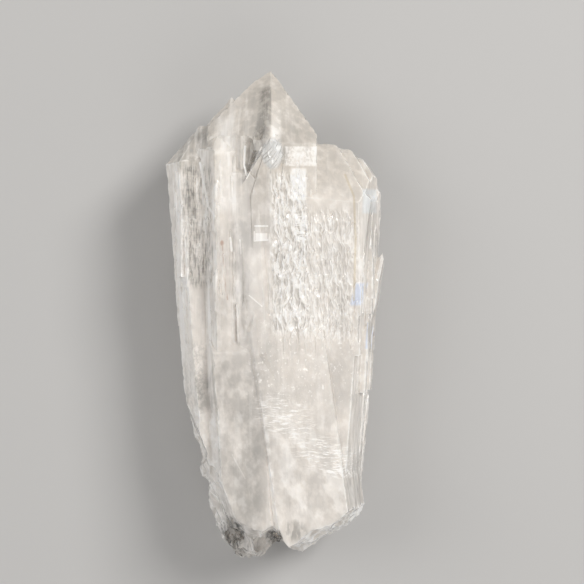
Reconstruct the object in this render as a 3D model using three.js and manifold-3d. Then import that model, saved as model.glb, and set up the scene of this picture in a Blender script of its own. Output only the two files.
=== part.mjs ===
// A cathedral quartz crystal lying on a table: one solid, grown from several side-by-side crystals.
// Millimetres, +Z up, +Y along the crystals towards their tips.
import * as THREE from "three";
import { mergeVertices } from "three/addons/utils/BufferGeometryUtils.js";
import Module from "manifold-3d";

const wasm = await Module();
wasm.setup();

// ---- Driving dimensions -------------------------------------------------------------------------
const BLOCK = 240; // side of the raw block that each crystal is cut from
const FRONT_TURN = 12; // degrees that the widest prism faces lean from straight up towards +X
const FRONT_HEIGHT = 23.4; // height of those faces' common plane over X = 0
const MAIN_TURN = 30; // the same lean for the tallest crystal, which shows an edge on top
const TIP_SLOPE = 51.8; // degrees between a quartz tip face and the plane square to the axis
const COLOUR = 0xe4ddd3;

const radians = THREE.MathUtils.degToRad;
const tangent = (degrees) => Math.tan(radians(degrees));

// ---- Solids and planes --------------------------------------------------------------------------
/** A manifold-3d solid with the shape of a closed three.js geometry. */
function solidOf(geometry) {
  const bare = geometry.clone();
  bare.deleteAttribute("normal");
  bare.deleteAttribute("uv");
  const merged = mergeVertices(bare, 1e-4);
  return new wasm.Manifold(
    new wasm.Mesh({
      numProp: 3,
      vertProperties: merged.attributes.position.array,
      triVerts: new Uint32Array(merged.index.array),
    }),
  );
}

/** A three.js geometry with the shape of a manifold-3d solid. */
function geometryOf(solid) {
  const { numProp, numVert, vertProperties, triVerts } = solid.getMesh();
  const positions = new Float32Array(numVert * 3);
  for (let i = 0; i < numVert; i++) {
    positions.set(vertProperties.subarray(i * numProp, i * numProp + 3), i * 3);
  }
  const geometry = new THREE.BufferGeometry();
  geometry.setAttribute("position", new THREE.BufferAttribute(positions, 3));
  geometry.setIndex(new THREE.BufferAttribute(new Uint32Array(triVerts), 1));
  geometry.computeVertexNormals();
  return geometry;
}

/** A cutting plane through a point; its normal points out of what is kept. */
function planeThrough(normal, point) {
  const unit = normal.clone().normalize();
  return { normal: unit, offset: unit.dot(point) };
}

/** The part of a solid behind every plane. */
function keepBehind(solid, planes) {
  return planes.reduce(
    (kept, { normal, offset }) => kept.trimByPlane([-normal.x, -normal.y, -normal.z], -offset),
    solid,
  );
}

const union = (solids) => wasm.Manifold.union(solids);
const rawBlock = solidOf(new THREE.BoxGeometry(BLOCK, BLOCK, BLOCK));

/** Repeatable numbers from 0 to 1. */
function randomFrom(seed) {
  let state = seed;
  return () => {
    state = (state * 1664525 + 1013904223) % 4294967296;
    return state / 4294967296;
  };
}

// ---- Crystals -----------------------------------------------------------------------------------
/** The frame of an upright crystal: lean turns its axis towards -X and pitch lifts its tip, in degrees. */
function standing(tip, lean, pitch) {
  return new THREE.Matrix4()
    .makeTranslation(...tip)
    .multiply(new THREE.Matrix4().makeRotationZ(radians(lean)))
    .multiply(new THREE.Matrix4().makeRotationX(radians(pitch)));
}

/**
 * The frame of a plate lying along a face, its axis as near +Y as the face allows. sway turns the
 * axis in the face and sink dips the plate's foot into it, in degrees.
 */
function lyingOn({ point, normal }, sway, sink) {
  const along = new THREE.Vector3(0, 1, 0).projectOnPlane(normal).normalize();
  const across = along.clone().cross(normal);
  return new THREE.Matrix4()
    .makeBasis(across, along, normal)
    .setPosition(point)
    .multiply(new THREE.Matrix4().makeRotationZ(radians(sway)))
    .multiply(new THREE.Matrix4().makeRotationX(radians(sink)));
}

/**
 * One crystal: six prism faces round an axis, and a tip face over each.
 * place is the frame whose origin is the tip and whose +Y is the axis; tip, lean and pitch make one.
 * turn is the first prism face's lean from straight up towards +X, and the others follow by sixths
 * of a circle. reach is each face's distance from the axis, slope its tip face's slope, and back how
 * far that tip face is moved out along the axis. foot is the length.
 */
function crystal({
  tip = [0, 0, 0],
  lean = 0,
  pitch = 0,
  place = standing(tip, lean, pitch),
  turn = FRONT_TURN,
  reach,
  slope = TIP_SLOPE,
  back = 0,
  foot = 118,
}) {
  const placed = (normal, distance) => {
    const unit = normal.clone().normalize();
    const point = unit.clone().multiplyScalar(distance).applyMatrix4(place);
    return planeThrough(unit.transformDirection(place), point);
  };
  const ofFace = (value, k) => (Array.isArray(value) ? value[k] : value);
  const planes = [placed(new THREE.Vector3(0, -1, 0), foot)];
  reach.forEach((distance, k) => {
    const angle = radians(turn + 60 * k);
    const steepness = radians(ofFace(slope, k));
    const outwards = new THREE.Vector3(Math.sin(angle), 0, Math.cos(angle));
    const tipNormal = outwards.clone().multiplyScalar(Math.sin(steepness)).setY(Math.cos(steepness));
    planes.push(placed(outwards, distance));
    planes.push(placed(tipNormal, ofFace(back, k) * Math.cos(steepness)));
  });
  return keepBehind(rawBlock, planes);
}

/** Both planes of a break whose edge runs from one place in plan to the next, clockwise seen from above. */
function brokenEdge([x1, y1], [x2, y2], height, above, below) {
  const outwards = new THREE.Vector3(y1 - y2, x2 - x1, 0).normalize();
  const edge = new THREE.Vector3(x1, y1, height);
  const leaning = (degrees) => {
    return outwards.clone().multiplyScalar(Math.cos(radians(degrees))).setZ(Math.sin(radians(degrees)));
  };
  return [planeThrough(leaning(above), edge), planeThrough(leaning(-below), edge)];
}

/** Height of a tip over X whose front face lies `depth` in front of it and `step` under the common plane. */
function tipHeight(x, depth, step = 0) {
  return FRONT_HEIGHT - x * tangent(FRONT_TURN) - step - depth / Math.cos(radians(FRONT_TURN));
}

// ---- The tallest crystal and its neighbours on the right ----------------------------------------
const main = crystal({
  tip: [-1, 47.6, 14.5],
  lean: -0.7,
  pitch: 4,
  turn: MAIN_TURN,
  reach: [11.3, 8.9, 9.5, 12.4, 12.0, 11.0],
  slope: [51.8, 54.5, 53.5, 51.8, 46, 50],
  back: [0, 0, 0, 0, 1.3, 0],
});

const wedge = keepBehind(
  crystal({
    tip: [-1.7, 33.4, 25.0],
    lean: 0.6,
    pitch: 4,
    turn: -9,
    reach: [0.9, 1.5, 5, 9, 5, 3.0],
    slope: [74, 70, 60, 60, 60, 74],
  }),
  [planeThrough(new THREE.Vector3(-0.2, -0.3, 0.93), new THREE.Vector3(-2, 7.5, 23.9))],
);

// Fills the corner between the wedge and the crystals on its left
const saddle = keepBehind(
  crystal({
    tip: [-6.3, 36, 16],
    lean: 3,
    turn: -25,
    reach: [7.0, 8.5, 3.5, 5, 5, 3.6],
  }),
  [planeThrough(new THREE.Vector3(-0.3, -0.3, 0.9), new THREE.Vector3(-6.2, -5, 23.7))],
);

const SHOULDER_DEPTH = 9; // from the right-hand crystals' axes to their front faces
const shoulder = [
  { x: 11.6, y: 33.6, step: 0, side: 8.2 },
  { x: 14.5, y: 32.8, step: 0.25, side: 4.9 },
  { x: 16.8, y: 31.0, step: 0.15, side: 2.7 },
  { x: 18.3, y: 29.0, step: 0.5, side: 1.2 },
  { x: 19.5, y: 26.6, step: 0.9, side: 0.1 },
];
const rightCrystals = shoulder.map(({ x, y, step, side }, i) =>
  crystal({
    tip: [x, y, tipHeight(x, SHOULDER_DEPTH, step)],
    lean: -4.1,
    reach: [SHOULDER_DEPTH, side, 7.5 - 0.7 * i, 11.5, 12, 12 + 1.4 * i],
    back: [0, 0, 0, 0, 30, 30],
  }),
);

const rightRoot = crystal({
  tip: [-0.9, 24, 12.8],
  lean: 7.8,
  pitch: -0.4,
  reach: [9.52, 8.4, 9, 12.5, 14, 12.95],
  slope: [51.8, 51.8, 51.8, 51.8, 51.8, 74],
  back: [0, 0, 0, 0, 0, 19.5],
});

const band = planeThrough(
  new THREE.Vector3(Math.sin(radians(58)), 0, Math.cos(radians(58))),
  new THREE.Vector3(15.4, 0, 20.2),
);

const rightSliver = crystal({
  tip: [19.5, 25.4, 9.5],
  lean: -2.4,
  reach: [4.5, 0.7, 1.2, 5, 6, 6],
  back: [0, 0, 0, 0, 20, 20],
  foot: 32,
});

const rightChip = keepBehind(
  crystal({
    tip: [20.7, 12.8, 8.5],
    lean: -8,
    turn: 20,
    reach: [3.2, 0.6, 1.6, 4, 4, 5],
    slope: [60, 66, 66, 60, 60, 60],
    foot: 16,
  }),
  brokenEdge([21.5, 6.6], [19.0, -1.8], 8, 14, 20),
);

// ---- The crystals on the left -------------------------------------------------------------------
const leftRoot = crystal({
  tip: [-9.2, 14, 10.7],
  lean: 3.4,
  pitch: -0.9,
  turn: -9,
  reach: [11.8, 12, 8, 12, 12, 7.6],
  slope: [60, 60, 51.8, 60, 60, 62],
});

const leftOuter = keepBehind(
  crystal({
    tip: [-15.3, 37.9, 13.3],
    lean: 4.6,
    turn: 8,
    reach: [6.3, 5, 6, 10, 4.7, 7.3],
    slope: [51.8, 51.8, 51.8, 51.8, 56, 44],
    back: [0, 1.2, 1.2, 0, -1, -1.2],
    foot: 66,
  }),
  [
    planeThrough(new THREE.Vector3(0, 1, 0.05), new THREE.Vector3(-14, 37.2, 10)),
    ...brokenEdge([-15.3, -24.0], [-18.1, -16.6], 13, 12, 24),
  ],
);

const leftInner = crystal({
  tip: [-12.4, 38.2, 13],
  lean: 1.2,
  pitch: 0.6,
  turn: 4,
  reach: [7.2, 3, 5, 9, 5, 5.4],
  slope: [51.8, 51.8, 51.8, 51.8, 60, 60],
});

const pillar = crystal({
  tip: [-8.6, 42.8, 13.5],
  lean: 0.6,
  pitch: 1,
  turn: 10,
  reach: [9.1, 4.1, 5, 9, 5, 8.5],
  back: [0, 0, 0, 0, 0, 0],
});

// ---- The broken foot ----------------------------------------------------------------------------
const rightBreak = [
  ...brokenEdge([16.7, -38.2], [14.4, -40.8], 10, 18, 18),
  ...brokenEdge([14.4, -40.8], [8.8, -44.2], 9, 15, 26),
  ...brokenEdge([8.8, -44.2], [5.2, -46.3], 11, 20, 20),
  ...brokenEdge([5.2, -46.3], [2.4, -46.1], 10, 14, 30),
  ...brokenEdge([2.4, -46.1], [-3.5, -40.1], 12, 12, 14),
];
const leftBreak = [
  ...brokenEdge([4.0, -42.2], [-4.4, -47.8], 11, 22, 20),
  ...brokenEdge([-4.4, -47.8], [-6.6, -47.9], 8, 16, 30),
  ...brokenEdge([-6.6, -47.9], [-11.0, -44.9], 9, 30, 16),
  ...brokenEdge([-11.0, -44.9], [-12.6, -40.6], 10, 24, 26),
  ...brokenEdge([-12.6, -40.6], [-14.5, -34.0], 13, 18, 20),
  ...brokenEdge([-14.5, -34.0], [-16.1, -23.0], 14, 12, 24),
];

const rightHalf = keepBehind(union([...rightCrystals, rightRoot]), [band, ...rightBreak]);
const middle = keepBehind(union([main, wedge, saddle]), rightBreak);
const leftHalf = keepBehind(union([leftRoot, leftInner, pillar]), leftBreak);
const grown = union([rightHalf, middle, leftHalf, leftOuter, rightSliver, rightChip]);

// ---- Looking for the surface --------------------------------------------------------------------
const FAR = 80; // where the lines that look for the surface start from
const sides = {
  above: { look: new THREE.Vector3(0, 0, -1), start: (x, y) => new THREE.Vector3(x, y, FAR) },
  below: { look: new THREE.Vector3(0, 0, 1), start: (x, y) => new THREE.Vector3(x, y, -FAR) },
  left: { look: new THREE.Vector3(1, 0, 0), start: (z, y) => new THREE.Vector3(-FAR, y, z) },
  right: { look: new THREE.Vector3(-1, 0, 0), start: (z, y) => new THREE.Vector3(FAR, y, z) },
};
const probe = new THREE.Raycaster();

/** Where a line from outside first meets a mesh, with the outward direction there. */
function surfaceOf(mesh, origin, direction) {
  probe.set(origin, direction);
  const hit = probe.intersectObject(mesh)[0];
  return hit && { point: hit.point, normal: hit.face.normal };
}

/** A way to draw values from [low, high] ranges, the same ones for the same seed. */
function drawFrom(seed) {
  const random = randomFrom(seed);
  return ([low, high]) => THREE.MathUtils.lerp(low, high, random());
}

// ---- Growth plates: thin crystals along the faces, each with its foot sunk into the face ---------
const plateFields = [
  // The stepped middle of the front
  {
    side: "above",
    count: 96,
    seed: 7,
    across: [0, 15.2],
    along: [-3, 27],
    width: [0.7, 1.9],
    length: [3, 8],
    proud: [0.15, 0.4],
  },
  {
    side: "above",
    count: 26,
    seed: 11,
    across: [-0.4, 5.6],
    along: [6, 31],
    width: [0.5, 1.2],
    length: [4, 9],
    proud: [0.18, 0.38],
  },
  // Ridges on the left-hand crystals
  {
    side: "above",
    count: 26,
    seed: 23,
    across: [-19.6, -12.4],
    along: [4, 29],
    width: [0.4, 1],
    length: [6, 15],
    proud: [0.12, 0.35],
  },
  {
    side: "above",
    count: 18,
    seed: 31,
    across: [-11.8, -5.6],
    along: [2, 32],
    width: [0.4, 1],
    length: [6, 15],
    proud: [0.12, 0.35],
  },
  // Ridges down the right-hand edge
  {
    side: "above",
    count: 9,
    seed: 43,
    across: [15.8, 19.4],
    along: [-12, 20],
    width: [0.4, 1],
    length: [6, 14],
    proud: [0.12, 0.3],
  },
  // Flanks
  {
    side: "right",
    count: 16,
    seed: 53,
    across: [2, 14],
    along: [-24, 20],
    width: [0.8, 2.4],
    length: [6, 16],
    proud: [0.1, 0.25],
  },
  {
    side: "left",
    count: 16,
    seed: 61,
    across: [2, 14],
    along: [-10, 26],
    width: [0.8, 2.4],
    length: [6, 16],
    proud: [0.1, 0.25],
  },
  // Back
  {
    side: "below",
    count: 24,
    seed: 73,
    across: [-16, 15],
    along: [-28, 28],
    width: [1.2, 3.6],
    length: [6, 18],
    proud: [0.3, 0.7],
  },
];

/** The plates of one field on a solid. */
function platesOn(mesh, { side, count, seed, across, along, width, length, proud }) {
  const draw = drawFrom(seed);
  const { look, start } = sides[side];
  const made = [];
  for (let i = 0; i < count; i++) {
    const met = surfaceOf(mesh, start(draw(across), draw(along)), look);
    const half = draw(width) / 2;
    const long = draw(length);
    const high = draw(proud);
    const sway = draw([-1.5, 1.5]);
    if (!met || Math.abs(met.normal.y) > 0.25) continue;
    const sink = THREE.MathUtils.radToDeg(Math.atan(high / long));
    made.push(
      crystal({
        place: lyingOn(met, sway, sink),
        turn: 0,
        reach: [high, half, 1.5, 2, 1.5, half],
        slope: 66,
        foot: long,
      }),
    );
  }
  return made;
}

const bare = new THREE.Mesh(geometryOf(grown), new THREE.MeshBasicMaterial());
const stepped = union([grown, ...plateFields.flatMap((field) => platesOn(bare, field))]);

// ---- Shell-shaped chips -------------------------------------------------------------------------
const roundChip = solidOf(new THREE.IcosahedronGeometry(1, 1));
const CHIP_DEPTH = 0.14; // how much of a chip's radius is sunk into the surface

/** One hollow round a point: radii along X, Y and Z, turned about all three axes. */
function hollow(centre, radii, turned) {
  return roundChip.scale(radii).rotate(turned).translate(centre);
}

// The knocked hollow beside the tallest crystal's front edge, and the gaps between the base's lobes
const hollows = [
  hollow([-0.3, 31.4, 27.6], [1.5, 3.4, 2.2], [10, 8, -6]),
  hollow([0.9, 34.2, 26.2], [1.2, 2.2, 2.0], [0, 30, 12]),
  hollow([-3.1, 35.6, 25.2], [1.1, 3.0, 1.5], [0, -20, -14]),
  hollow([-5.4, 30.2, 24.2], [1.2, 3.4, 1.6], [0, -14, -8]),
  hollow([0.4, -46.2, 15], [1.6, 3.2, 5], [20, 0, 10]),
  hollow([-7.6, -45.4, 17], [3.4, 5.2, 5.6], [30, 20, 0]),
  hollow([-2.6, -44.6, 19], [2.6, 3.4, 4.2], [24, -20, 0]),
];

const chipFields = [
  { count: 44, seed: 5, angles: [172, 285], heights: [2, 20], size: [2.2, 5], middle: [-1, -26] },
  { count: 20, seed: 17, angles: [265, 335], heights: [3, 20], size: [2, 4.4], middle: [2, -30] },
];

/** The chips of one field, met on the way in towards the middle of the foot. */
function chipsOn(mesh, { count, seed, angles, heights, size, middle }) {
  const draw = drawFrom(seed);
  const made = [];
  for (let i = 0; i < count; i++) {
    const angle = radians(draw(angles));
    const inwards = new THREE.Vector3(-Math.cos(angle), -Math.sin(angle), 0);
    const start = new THREE.Vector3(...middle, draw(heights)).addScaledVector(inwards, -FAR);
    const met = surfaceOf(mesh, start, inwards);
    const radius = draw(size);
    const radii = [radius, radius * draw([1, 1.6]), radius * draw([0.8, 1.4])];
    const turned = [draw([0, 90]), draw([0, 90]), draw([0, 90])];
    if (!met) continue;
    const centre = met.point.clone().addScaledVector(met.normal, radius * (1 - CHIP_DEPTH));
    made.push(hollow(centre.toArray(), radii, turned));
  }
  return made;
}

const whole = new THREE.Mesh(geometryOf(stepped), new THREE.MeshBasicMaterial());
const chips = [...hollows, ...chipFields.flatMap((field) => chipsOn(whole, field))];
const worn = stepped.subtract(union(chips));
const SLIVER = 0.02; // details smaller than this are closed up

const table = planeThrough(new THREE.Vector3(0, 0, -1), new THREE.Vector3(0, 0, 0));
const resting = keepBehind(worn, [table]);
const { min, max } = resting.boundingBox();
const centred = resting
  .asOriginal()
  .simplify(SLIVER)
  .translate([-(min[0] + max[0]) / 2, -(min[1] + max[1]) / 2, -min[2]]);

const mesh = new THREE.Mesh(
  geometryOf(centred),
  new THREE.MeshStandardMaterial({ color: COLOUR, roughness: 0.25, metalness: 0, flatShading: true }),
);
mesh.name = "quartz_cluster";

const group = new THREE.Group();
group.add(mesh);
export default group;
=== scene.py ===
import logging
import math
from dataclasses import dataclass
from enum import Enum
from functools import cached_property
from typing import Any, Union

import bpy
import numpy as np
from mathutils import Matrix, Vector
from mathutils.geometry import delaunay_2d_cdt
from mathutils.kdtree import KDTree


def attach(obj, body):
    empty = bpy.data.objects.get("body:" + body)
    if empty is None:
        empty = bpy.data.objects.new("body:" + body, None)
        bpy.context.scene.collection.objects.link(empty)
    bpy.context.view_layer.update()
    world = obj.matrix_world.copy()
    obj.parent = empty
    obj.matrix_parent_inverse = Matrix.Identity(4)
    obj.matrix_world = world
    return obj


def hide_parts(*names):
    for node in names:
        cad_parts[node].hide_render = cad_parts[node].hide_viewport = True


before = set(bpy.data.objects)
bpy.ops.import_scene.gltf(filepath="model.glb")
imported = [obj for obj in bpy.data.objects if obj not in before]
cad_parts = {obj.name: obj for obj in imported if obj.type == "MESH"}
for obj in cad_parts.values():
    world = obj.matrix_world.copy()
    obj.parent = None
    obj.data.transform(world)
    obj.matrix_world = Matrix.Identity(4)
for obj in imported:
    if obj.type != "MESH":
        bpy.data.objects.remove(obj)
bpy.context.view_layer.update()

log = logging.getLogger("quartz")
Triple = tuple[float, float, float]
Spot = tuple[float, float]
Face = tuple[int, int, int]

MM = 0.001
TO_MM: Triple = (1000.0, 1000.0, 1000.0)
TINY = 1e-12
ORIGIN: Triple = (0.0, 0.0, 0.0)
CREST = "crest"


# ---- Node trees ----
class Field:
    """One output socket, with arithmetic that adds Math nodes to its tree."""

    def __init__(self, graph: "Graph", socket: bpy.types.NodeSocket) -> None:
        """Wraps a socket of a graph."""
        self.graph = graph
        self.socket = socket

    def _math(self, operation: str, *values: "Operand", clamp: bool = False) -> "Field":
        """A Math node on the values."""
        settings = {"operation": operation, "use_clamp": clamp}
        return self.graph.node("ShaderNodeMath", settings, dict(enumerate(values))).field()

    def __add__(self, other: "Operand") -> "Field":
        """Sum."""
        return self._math("ADD", self, other)

    def __sub__(self, other: "Operand") -> "Field":
        """Difference."""
        return self._math("SUBTRACT", self, other)

    def __rsub__(self, other: "Operand") -> "Field":
        """Reflected difference."""
        return self._math("SUBTRACT", other, self)

    def __mul__(self, other: "Operand") -> "Field":
        """Product."""
        return self._math("MULTIPLY", self, other)

    __radd__ = __add__
    __rmul__ = __mul__

    def size(self) -> "Field":
        """Absolute value."""
        return self._math("ABSOLUTE", self)

    def kept(self) -> "Field":
        """The value held between 0 and 1."""
        return self._math("ADD", self, 0.0, clamp=True)

    def most(self, other: "Operand") -> "Field":
        """The larger of two values."""
        return self._math("MAXIMUM", self, other)

    def least(self, other: "Operand") -> "Field":
        """The smaller of two values."""
        return self._math("MINIMUM", self, other)

    def rise(self, low: float, high: float) -> "Field":
        """A smooth step.

        Args:
            low: The value at which the step is 0.
            high: The value at which the step is 1; it may be lower than low.

        Returns:
            The step, from 0 to 1.
        """
        if high < low:
            return 1 - self.rise(high, low)
        settings = {"interpolation_type": "SMOOTHSTEP"}
        values = {"Value": self, "From Min": low, "From Max": high}
        return self.graph.node("ShaderNodeMapRange", settings, values).field()


Operand = Union[Field, float]


@dataclass
class Made:
    """A node that was just added to a graph."""

    graph: "Graph"
    node: bpy.types.Node

    def field(self, output: Union[str, int] = 0) -> Field:
        """One of the node's outputs."""
        return Field(self.graph, self.node.outputs[output])


class Graph:
    """A shader or geometry node tree while it is being built."""

    def __init__(self, tree: bpy.types.NodeTree) -> None:
        """Starts from an empty tree."""
        self.tree = tree
        tree.nodes.clear()

    def node(self, kind: str, settings: dict[str, Any], values: dict[Union[str, int], Any]) -> Made:
        """Adds one node.

        Args:
            kind: The node's type name.
            settings: Its properties, which are set before anything else.
            values: A number, colour or Field for each input that isn't left alone.

        Returns:
            The new node.
        """
        node = self.tree.nodes.new(kind)
        for name, value in settings.items():
            setattr(node, name, value)
        for key, value in values.items():
            if isinstance(value, Field):
                self.tree.links.new(value.socket, node.inputs[key])
            else:
                node.inputs[key].default_value = value
        return Made(self, node)

    def stretched(self, place: Field, by: Triple, shift: Union[Triple, Field] = ORIGIN) -> Field:
        """A place multiplied axis by axis, then moved."""
        values = {0: place, 1: by, 2: shift}
        return self.node("ShaderNodeVectorMath", {"operation": "MULTIPLY_ADD"}, values).field()

    def axes(self, place: Field) -> tuple[Field, Field, Field]:
        """The X, Y and Z of a place."""
        made = self.node("ShaderNodeSeparateXYZ", {}, {0: place})
        return made.field(0), made.field(1), made.field(2)

    def noise(self, place: Field, by: Triple, detail: float = 3.0, shift: Triple = ORIGIN) -> Field:
        """Cloudy noise.

        Args:
            place: Where it is read.
            by: One over the size of its grain along each axis.
            detail: How many finer layers it has.
            shift: What sets it apart from other noise of the same grain.

        Returns:
            The noise, from 0 to 1.
        """
        values = {"Vector": self.stretched(place, by, shift), "Scale": 1.0, "Detail": detail}
        return self.node("ShaderNodeTexNoise", {}, {**values, "Roughness": 0.55}).field(0)

    def cells(self, place: Field, by: Triple, shift: Triple = ORIGIN) -> Field:
        """Cells in plan.

        Args:
            place: Where they are read.
            by: One over the size of a cell along each axis.
            shift: How far they are moved, as a share of a cell.

        Returns:
            The distance to the nearest edge between two cells.
        """
        settings = {"feature": "DISTANCE_TO_EDGE", "voronoi_dimensions": "2D"}
        values = {"Vector": self.stretched(place, by, shift), "Scale": 1.0}
        return self.node("ShaderNodeTexVoronoi", settings, values).field("Distance")

    def joined(self, x: Operand, y: Operand, z: Operand) -> Field:
        """A place from its X, Y and Z."""
        return self.node("ShaderNodeCombineXYZ", {}, {0: x, 1: y, 2: z}).field()

    def mixed(self, factor: Operand, first: Any, second: Any) -> Field:
        """Two colours mixed by a factor."""
        settings = {"data_type": "RGBA", "clamp_factor": True}
        return self.node("ShaderNodeMix", settings, {0: factor, 6: first, 7: second}).field(2)


# ---- Places on the crystal ----
# The plan: places as they stand seen from straight above, from this far over the outline's height
VIEW_HEIGHT = 269.0
OUTLINE_HEIGHT = 10.0
MIDDLE: Spot = (2.9, 4.9)


class Patch(Enum):
    """Rectangles in plan: low corner, high corner, softness and slant where there is one."""

    STRIAE = (-18.6, 6.0), (-12.4, 29.2), 1.0
    RIDGES = (-18.8, 2.0), (-12.2, 29.6), 1.5
    HILLOCKS = (-0.9, -3.0), (5.4, 28.0), 1.1
    WEAK_HILLOCKS = (4.6, -4.5), (14.9, 20.6), 1.6
    FLECKED = (-5.0, -17.0), (15.0, 0.0), 3.0
    LOWER_RIGHT = (0.0, -40.0), (14.5, -22.0), 3.0
    LEDGE = (4.5, 20.5), (16.5, 25.0), 0.5
    SHOULDER = (5.5, 21.0), (15.0, 33.0), 1.0
    # A painted reflection on the small flat facet beside the main tip
    WHITE_REFLECTION = (1.6, 29.4), (7.7, 33.2), 0.2
    STEP_EDGE = (1.2, 30.0), (2.0, 33.4), 0.3
    BRIGHT_COLUMN = (2.9, 22.8), (5.7, 28.9), 0.3
    BRIGHT_RUNGS = (3.4, 14.8), (5.8, 20.0), 0.3
    BRIGHT_CHIP = (-4.2, 14.9), (-1.9, 16.3), 0.12
    # A painted highlight along the main tip's ridge
    RIDGE_HIGHLIGHT = (-1.1, 32.4), (0.8, 41.4), 0.4
    PALE_PILLAR = (-11.8, 20.5), (-8.1, 39.0), 1.0
    LEFT_RIM = (-19.5, 6.0), (-17.2, 28.0), 0.6
    LEFT_TIPS = (-20.0, 28.5), (-13.0, 37.0), 1.2
    LEFT_EDGE = (-18.8, -19.0), (-14.0, -5.0), 1.0
    # Painted shade in the groove beside the wedge
    GROOVE_SHADE = (-9.0, 2.0), (-4.6, 20.0), 1.4
    WEDGE = (-6.5, 13.0), (-1.2, 28.0), 1.0
    CORE = (-6.4, 26.3), (-3.4, 32.3), 0.25, 0.3
    # A painted reflection on a facet at the right edge
    BLUE_REFLECTION = (16.7, 20.2), (19.4, 24.9), 0.35
    UPPER_GLINT = (14.2, 2.3), (16.5, 6.6), 0.35, 0.28
    LOWER_GLINT = (17.2, -6.2), (18.5, -1.0), 0.2, 0.08


class Line(Enum):
    """Lines in plan: their places, width and softness where it isn't the usual one."""

    WINDOW = ((-1.9, 43.4), (-2.2, 38.4), (-3.1, 34.9), (-4.7, 30.6), (-5.5, 26.8)), 2.8, 0.9
    HAZE = ((-3.6, 42.2), (-4.2, 37.6), (-5.4, 33.0), (-6.6, 27.8)), 4.4, 1.0
    CREASE = ((-3.4, -12.7), (-2.1, -22.2), (-1.1, -31.1), (-0.4, -38.9)), 0.9, 0.9
    LEFT_CRACK = ((-13.1, -5.4), (-12.3, -9.4), (-13.5, -13.6)), 0.5
    SHORT_CRACK = ((-15.2, 11.7), (-15.2, 9.6)), 0.5
    STAIN = ((13.3, 27.7), (15.0, 23.5), (15.3, 15.0), (15.0, 3.3)), 0.42
    RUST = ((-10.6, 14.0), (-10.3, 8.0), (-9.6, 3.4)), 0.26


@dataclass(frozen=True)
class Mark:
    """A bright line: a growth edge, a crest or a knock."""

    path: tuple[Spot, ...]
    width: float
    strength: float = 1.0


MARKS = (
    Mark(((-15.0, 30.0), (-14.4, 26.7), (-13.4, 21.5), (-12.1, 19.6)), 0.34),
    Mark(((-9.1, 15.4), (-8.8, 12.9)), 0.4, 0.8),
    Mark(((-7.2, 15.0), (-7.0, 12.3)), 0.28, 0.5),
    Mark(((-6.2, 33.2), (-6.4, 29.6), (-5.9, 27.6)), 0.36),
    Mark(((-3.0, 33.0), (-5.9, 27.0)), 0.3, 0.7),
    Mark(((-4.3, 17.7), (-1.8, 17.7)), 0.26),
    Mark(((-4.4, 16.6), (-4.4, 14.8), (-1.8, 15.0)), 0.28, 0.7),
    Mark(((-5.4, 4.2), (-2.9, 2.1)), 0.26, 0.6),
    Mark(((-8.7, -26.8), (-6.2, -31.4)), 0.24, 0.2),
)


@dataclass
class Plan:
    """Marks placed on the crystal as seen from above, in millimetres.

    Attributes:
        graph: The tree.
        x: The place across the crystal.
        y: The place along it, towards the tips.
    """

    graph: Graph
    x: Field
    y: Field

    def oval(self, centre: Spot, reach: Spot, soft: float = 0.6, slant: float = 0.0) -> Field:
        """A soft oval.

        Args:
            centre: Its middle.
            reach: Its half sizes.
            soft: The share of it over which it fades.
            slant: How far it moves across for each millimetre along.

        Returns:
            1 inside and 0 outside.
        """
        across = (self.x - centre[0] - (self.y - centre[1]) * slant) * (1 / reach[0])
        along = (self.y - centre[1]) * (1 / reach[1])
        return (across * across + along * along).rise(1.0, 1.0 - soft)

    def line(self, line: Line) -> Field:
        """A named line."""
        return self.stroke(*line.value)

    def patch(self, patch: Patch) -> Field:
        """A named rectangle.

        Args:
            patch: Its low and high corner, how far it fades, and how far it moves across with each
                millimetre along.

        Returns:
            1 inside and 0 outside.
        """
        low, high, soft, slant = (*patch.value, 0.0)[:4]
        across = self.x - (self.y - low[1]) * slant if slant else self.x
        return (
            across.rise(low[0] - soft, low[0] + soft)
            * across.rise(high[0] + soft, high[0] - soft)
            * self.y.rise(low[1] - soft, low[1] + soft)
            * self.y.rise(high[1] + soft, high[1] - soft)
        )

    def stroke(self, path: tuple[Spot, ...], width: float, soft: float = 0.5) -> Field:
        """A thin line through some places.

        Args:
            path: The places.
            width: The line's width.
            soft: The share of it over which it fades.

        Returns:
            1 on the line and 0 beside it.
        """
        found: Operand = 0.0
        for (x1, y1), (x2, y2) in zip(path, path[1:]):
            length = (x2 - x1) ** 2 + (y2 - y1) ** 2
            dx, dy = self.x - x1, self.y - y1
            share = (dx * ((x2 - x1) / length) + dy * ((y2 - y1) / length)).kept()
            ox, oy = dx - share * (x2 - x1), dy - share * (y2 - y1)
            edge = (width / 2) ** 2
            found = (ox * ox + oy * oy).rise(edge * (1 + soft), edge * (1 - soft)).most(found)
        return found


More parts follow.
